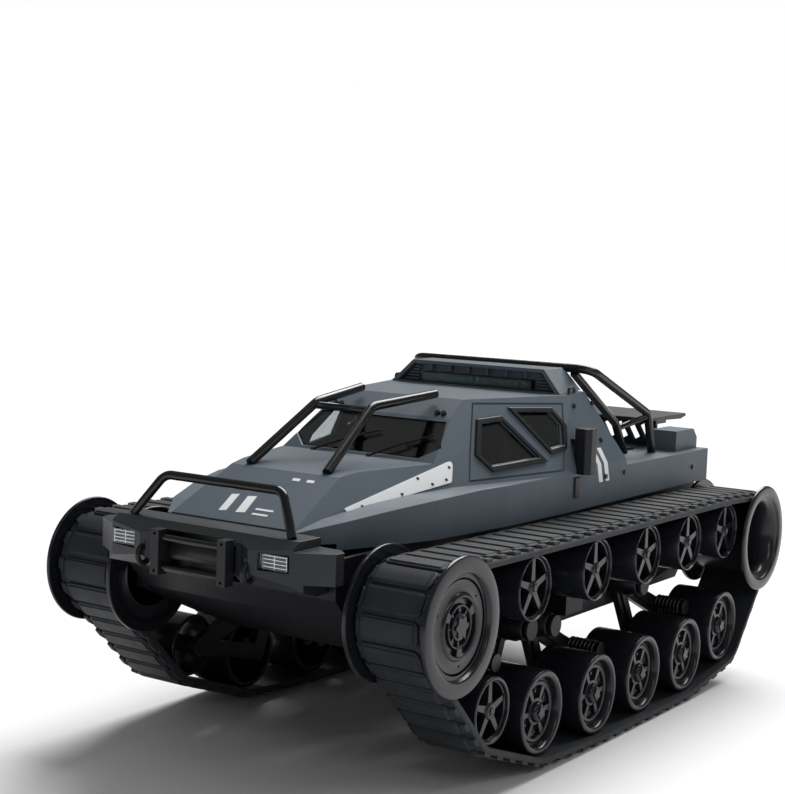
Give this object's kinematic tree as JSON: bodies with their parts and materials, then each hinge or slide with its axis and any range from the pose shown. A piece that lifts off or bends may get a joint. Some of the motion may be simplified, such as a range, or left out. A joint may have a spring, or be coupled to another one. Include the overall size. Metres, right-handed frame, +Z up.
{
  "type": "tracked tank chassis",
  "caption": "Radio-controlled tracked off-road tank with a faceted cab, rubber tracks on sprung bogies, front bumper, roll cage and rear deck.",
  "frame": {"origin": "on the ground under the middle of the overall length and width", "axes": "+X forward, +Y to the vehicle's left, +Z up"},
  "size_m": [0.4314, 0.2192, 0.1862],
  "materials": {
    "shell_grey": "satin slate",
    "black_plastic": "satin",
    "chassis_black": "matt",
    "bumper_black": "satin",
    "gloss_black": "gloss",
    "wheel_black": "satin",
    "suspension_black": "satin",
    "track_rubber": "matt",
    "clear_glass": "clear",
    "lamp_lens": "clear lens",
    "cockpit_grey": "matt",
    "battery_wrap": "shrink wrap",
    "motor_steel": "brushed",
    "board_green": "matt",
    "screw_steel": "dark",
    "switch_red": "gloss"
  },
  "bodies": {
    "root": {"battery_pack": "battery_wrap", "body_screws": "screw_steel", "bull_bar": "gloss_black", "bumper": "bumper_black", "cockpit": "cockpit_grey", "control_board": "board_green", "door_frames": "black_plastic", "drive_motors": "motor_steel", "engine_cover": "black_plastic", "gearboxes": "chassis_black", "headlights": "lamp_lens", "light_bar": "lamp_lens", "lower_tub": "chassis_black", "mirrors": "black_plastic", "rear_wing": "shell_grey", "roll_cage": "gloss_black", "roof_pod": "shell_grey", "tow_shackles": "gloss_black", "track_frames": "chassis_black", "track_left": "track_rubber", "track_right": "track_rubber", "upper_shell": "shell_grey", "winch_frame": "gloss_black", "window_glass": "clear_glass", "windshield_guard": "gloss_black"},
    "drive_wheel_left": {"drive_wheel_left": "wheel_black"},
    "bogie_left_front": {"bogie_left_front": "suspension_black"},
    "bogie_left_middle": {"bogie_left_middle": "suspension_black"},
    "bogie_left_rear": {"bogie_left_rear": "suspension_black"},
    "front_drum_left": {"front_drum_left": "wheel_black"},
    "return_roller_left_1": {"return_roller_left_1": "wheel_black"},
    "return_roller_left_2": {"return_roller_left_2": "wheel_black"},
    "return_roller_left_3": {"return_roller_left_3": "wheel_black"},
    "return_roller_left_4": {"return_roller_left_4": "wheel_black"},
    "return_roller_left_5": {"return_roller_left_5": "wheel_black"},
    "road_wheel_left_1": {"road_wheel_left_1": "wheel_black"},
    "road_wheel_left_2": {"road_wheel_left_2": "wheel_black"},
    "road_wheel_left_3": {"road_wheel_left_3": "wheel_black"},
    "road_wheel_left_4": {"road_wheel_left_4": "wheel_black"},
    "road_wheel_left_5": {"road_wheel_left_5": "wheel_black"},
    "road_wheel_left_6": {"road_wheel_left_6": "wheel_black"},
    "drive_wheel_right": {"drive_wheel_right": "wheel_black"},
    "bogie_right_front": {"bogie_right_front": "suspension_black"},
    "bogie_right_middle": {"bogie_right_middle": "suspension_black"},
    "bogie_right_rear": {"bogie_right_rear": "suspension_black"},
    "front_drum_right": {"front_drum_right": "wheel_black"},
    "return_roller_right_1": {"return_roller_right_1": "wheel_black"},
    "return_roller_right_2": {"return_roller_right_2": "wheel_black"},
    "return_roller_right_3": {"return_roller_right_3": "wheel_black"},
    "return_roller_right_4": {"return_roller_right_4": "wheel_black"},
    "return_roller_right_5": {"return_roller_right_5": "wheel_black"},
    "road_wheel_right_1": {"road_wheel_right_1": "wheel_black"},
    "road_wheel_right_2": {"road_wheel_right_2": "wheel_black"},
    "road_wheel_right_3": {"road_wheel_right_3": "wheel_black"},
    "road_wheel_right_4": {"road_wheel_right_4": "wheel_black"},
    "road_wheel_right_5": {"road_wheel_right_5": "wheel_black"},
    "road_wheel_right_6": {"road_wheel_right_6": "wheel_black"},
    "battery_door": {"battery_door": "chassis_black"},
    "power_switch": {"power_switch": "switch_red"}
  },
  "joints": [
    {"name": "drive_wheel_left_spin", "type": "hinge", "parent": "root", "child": "drive_wheel_left", "pos_m": [-0.1845, 0, 0.0807], "axis": [0, 1, 0], "continuous": true},
    {"name": "bogie_left_front_swing", "type": "hinge", "parent": "root", "child": "bogie_left_front", "pos_m": [0.06, 0, 0.064], "axis": [0, -1, 0], "range_deg": [0, 6], "stiffness_Nm_per_rad": 0.2, "springref_deg": -17.19},
    {"name": "bogie_left_middle_swing", "type": "hinge", "parent": "root", "child": "bogie_left_middle", "pos_m": [0.0352, 0, 0.0617], "axis": [0, 1, 0], "range_deg": [0, 6], "stiffness_Nm_per_rad": 0.2, "springref_deg": -17.19},
    {"name": "bogie_left_rear_swing", "type": "hinge", "parent": "root", "child": "bogie_left_rear", "pos_m": [-0.0674, 0, 0.0667], "axis": [0, 1, 0], "range_deg": [0, 6], "stiffness_Nm_per_rad": 0.2, "springref_deg": -17.19},
    {"name": "front_drum_left_spin", "type": "hinge", "parent": "root", "child": "front_drum_left", "pos_m": [0.162, 0, 0.0864], "axis": [0, 1, 0], "continuous": true},
    {"name": "return_roller_left_1_spin", "type": "hinge", "parent": "root", "child": "return_roller_left_1", "pos_m": [0.0882, 0, 0.09126], "axis": [0, 1, 0], "continuous": true},
    {"name": "return_roller_left_2_spin", "type": "hinge", "parent": "root", "child": "return_roller_left_2", "pos_m": [0.0242, 0, 0.0908], "axis": [0, 1, 0], "continuous": true},
    {"name": "return_roller_left_3_spin", "type": "hinge", "parent": "root", "child": "return_roller_left_3", "pos_m": [-0.0345, 0, 0.09037], "axis": [0, 1, 0], "continuous": true},
    {"name": "return_roller_left_4_spin", "type": "hinge", "parent": "root", "child": "return_roller_left_4", "pos_m": [-0.0881, 0, 0.08998], "axis": [0, 1, 0], "continuous": true},
    {"name": "return_roller_left_5_spin", "type": "hinge", "parent": "root", "child": "return_roller_left_5", "pos_m": [-0.1404, 0, 0.0896], "axis": [0, 1, 0], "continuous": true},
    {"name": "road_wheel_left_1_spin", "type": "hinge", "parent": "bogie_left_front", "child": "road_wheel_left_1", "pos_m": [0.1228, 0, 0.0401], "axis": [0, 1, 0], "continuous": true},
    {"name": "road_wheel_left_2_spin", "type": "hinge", "parent": "bogie_left_front", "child": "road_wheel_left_2", "pos_m": [0.0749, 0, 0.0289], "axis": [0, 1, 0], "continuous": true},
    {"name": "road_wheel_left_3_spin", "type": "hinge", "parent": "bogie_left_middle", "child": "road_wheel_left_3", "pos_m": [0.0162, 0, 0.0258], "axis": [0, 1, 0], "continuous": true},
    {"name": "road_wheel_left_4_spin", "type": "hinge", "parent": "bogie_left_middle", "child": "road_wheel_left_4", "pos_m": [-0.0375, 0, 0.0258], "axis": [0, 1, 0], "continuous": true},
    {"name": "road_wheel_left_5_spin", "type": "hinge", "parent": "bogie_left_rear", "child": "road_wheel_left_5", "pos_m": [-0.0924, 0, 0.0258], "axis": [0, 1, 0], "continuous": true},
    {"name": "road_wheel_left_6_spin", "type": "hinge", "parent": "bogie_left_rear", "child": "road_wheel_left_6", "pos_m": [-0.1434, 0, 0.0332], "axis": [0, 1, 0], "continuous": true},
    {"name": "drive_wheel_right_spin", "type": "hinge", "parent": "root", "child": "drive_wheel_right", "pos_m": [-0.1845, 0, 0.0807], "axis": [0, 1, 0], "continuous": true},
    {"name": "bogie_right_front_swing", "type": "hinge", "parent": "root", "child": "bogie_right_front", "pos_m": [0.06, 0, 0.064], "axis": [0, -1, 0], "range_deg": [0, 6], "stiffness_Nm_per_rad": 0.2, "springref_deg": -17.19},
    {"name": "bogie_right_middle_swing", "type": "hinge", "parent": "root", "child": "bogie_right_middle", "pos_m": [0.0352, 0, 0.0617], "axis": [0, 1, 0], "range_deg": [0, 6], "stiffness_Nm_per_rad": 0.2, "springref_deg": -17.19},
    {"name": "bogie_right_rear_swing", "type": "hinge", "parent": "root", "child": "bogie_right_rear", "pos_m": [-0.0674, 0, 0.0667], "axis": [0, 1, 0], "range_deg": [0, 6], "stiffness_Nm_per_rad": 0.2, "springref_deg": -17.19},
    {"name": "front_drum_right_spin", "type": "hinge", "parent": "root", "child": "front_drum_right", "pos_m": [0.162, 0, 0.0864], "axis": [0, 1, 0], "continuous": true},
    {"name": "return_roller_right_1_spin", "type": "hinge", "parent": "root", "child": "return_roller_right_1", "pos_m": [0.0882, 0, 0.09126], "axis": [0, 1, 0], "continuous": true},
    {"name": "return_roller_right_2_spin", "type": "hinge", "parent": "root", "child": "return_roller_right_2", "pos_m": [0.0242, 0, 0.0908], "axis": [0, 1, 0], "continuous": true},
    {"name": "return_roller_right_3_spin", "type": "hinge", "parent": "root", "child": "return_roller_right_3", "pos_m": [-0.0345, 0, 0.09037], "axis": [0, 1, 0], "continuous": true},
    {"name": "return_roller_right_4_spin", "type": "hinge", "parent": "root", "child": "return_roller_right_4", "pos_m": [-0.0881, 0, 0.08998], "axis": [0, 1, 0], "continuous": true},
    {"name": "return_roller_right_5_spin", "type": "hinge", "parent": "root", "child": "return_roller_right_5", "pos_m": [-0.1404, 0, 0.0896], "axis": [0, 1, 0], "continuous": true},
    {"name": "road_wheel_right_1_spin", "type": "hinge", "parent": "bogie_right_front", "child": "road_wheel_right_1", "pos_m": [0.1228, 0, 0.0401], "axis": [0, 1, 0], "continuous": true},
    {"name": "road_wheel_right_2_spin", "type": "hinge", "parent": "bogie_right_front", "child": "road_wheel_right_2", "pos_m": [0.0749, 0, 0.0289], "axis": [0, 1, 0], "continuous": true},
    {"name": "road_wheel_right_3_spin", "type": "hinge", "parent": "bogie_right_middle", "child": "road_wheel_right_3", "pos_m": [0.0162, 0, 0.0258], "axis": [0, 1, 0], "continuous": true},
    {"name": "road_wheel_right_4_spin", "type": "hinge", "parent": "bogie_right_middle", "child": "road_wheel_right_4", "pos_m": [-0.0375, 0, 0.0258], "axis": [0, 1, 0], "continuous": true},
    {"name": "road_wheel_right_5_spin", "type": "hinge", "parent": "bogie_right_rear", "child": "road_wheel_right_5", "pos_m": [-0.0924, 0, 0.0258], "axis": [0, 1, 0], "continuous": true},
    {"name": "road_wheel_right_6_spin", "type": "hinge", "parent": "bogie_right_rear", "child": "road_wheel_right_6", "pos_m": [-0.1434, 0, 0.0332], "axis": [0, 1, 0], "continuous": true},
    {"name": "battery_door_hinge", "type": "hinge", "parent": "root", "child": "battery_door", "pos_m": [-0.0622, 0, 0.0498], "axis": [0, 1, 0], "range_deg": [0, 80]},
    {"name": "power_switch_slide", "type": "slide", "parent": "root", "child": "power_switch", "axis": [1, 0, 0], "range_m": [0, 0.004]}
  ],
  "couplings": [
    {"joint": "front_drum_left_spin", "follows": "drive_wheel_left_spin", "ratio": 1.0465},
    {"joint": "return_roller_left_1_spin", "follows": "drive_wheel_left_spin", "ratio": 1.3975},
    {"joint": "return_roller_left_2_spin", "follows": "drive_wheel_left_spin", "ratio": 1.3975},
    {"joint": "return_roller_left_3_spin", "follows": "drive_wheel_left_spin", "ratio": 1.3975},
    {"joint": "return_roller_left_4_spin", "follows": "drive_wheel_left_spin", "ratio": 1.3975},
    {"joint": "return_roller_left_5_spin", "follows": "drive_wheel_left_spin", "ratio": 1.3975},
    {"joint": "road_wheel_left_1_spin", "follows": "drive_wheel_left_spin", "ratio": 1.3975},
    {"joint": "road_wheel_left_2_spin", "follows": "drive_wheel_left_spin", "ratio": 1.0817},
    {"joint": "road_wheel_left_3_spin", "follows": "drive_wheel_left_spin", "ratio": 1.0817},
    {"joint": "road_wheel_left_4_spin", "follows": "drive_wheel_left_spin", "ratio": 1.0817},
    {"joint": "road_wheel_left_5_spin", "follows": "drive_wheel_left_spin", "ratio": 1.0817},
    {"joint": "road_wheel_left_6_spin", "follows": "drive_wheel_left_spin", "ratio": 1.0817},
    {"joint": "front_drum_right_spin", "follows": "drive_wheel_right_spin", "ratio": 1.0465},
    {"joint": "return_roller_right_1_spin", "follows": "drive_wheel_right_spin", "ratio": 1.3975},
    {"joint": "return_roller_right_2_spin", "follows": "drive_wheel_right_spin", "ratio": 1.3975},
    {"joint": "return_roller_right_3_spin", "follows": "drive_wheel_right_spin", "ratio": 1.3975},
    {"joint": "return_roller_right_4_spin", "follows": "drive_wheel_right_spin", "ratio": 1.3975},
    {"joint": "return_roller_right_5_spin", "follows": "drive_wheel_right_spin", "ratio": 1.3975},
    {"joint": "road_wheel_right_1_spin", "follows": "drive_wheel_right_spin", "ratio": 1.3975},
    {"joint": "road_wheel_right_2_spin", "follows": "drive_wheel_right_spin", "ratio": 1.0817},
    {"joint": "road_wheel_right_3_spin", "follows": "drive_wheel_right_spin", "ratio": 1.0817},
    {"joint": "road_wheel_right_4_spin", "follows": "drive_wheel_right_spin", "ratio": 1.0817},
    {"joint": "road_wheel_right_5_spin", "follows": "drive_wheel_right_spin", "ratio": 1.0817},
    {"joint": "road_wheel_right_6_spin", "follows": "drive_wheel_right_spin", "ratio": 1.0817}
  ]
}
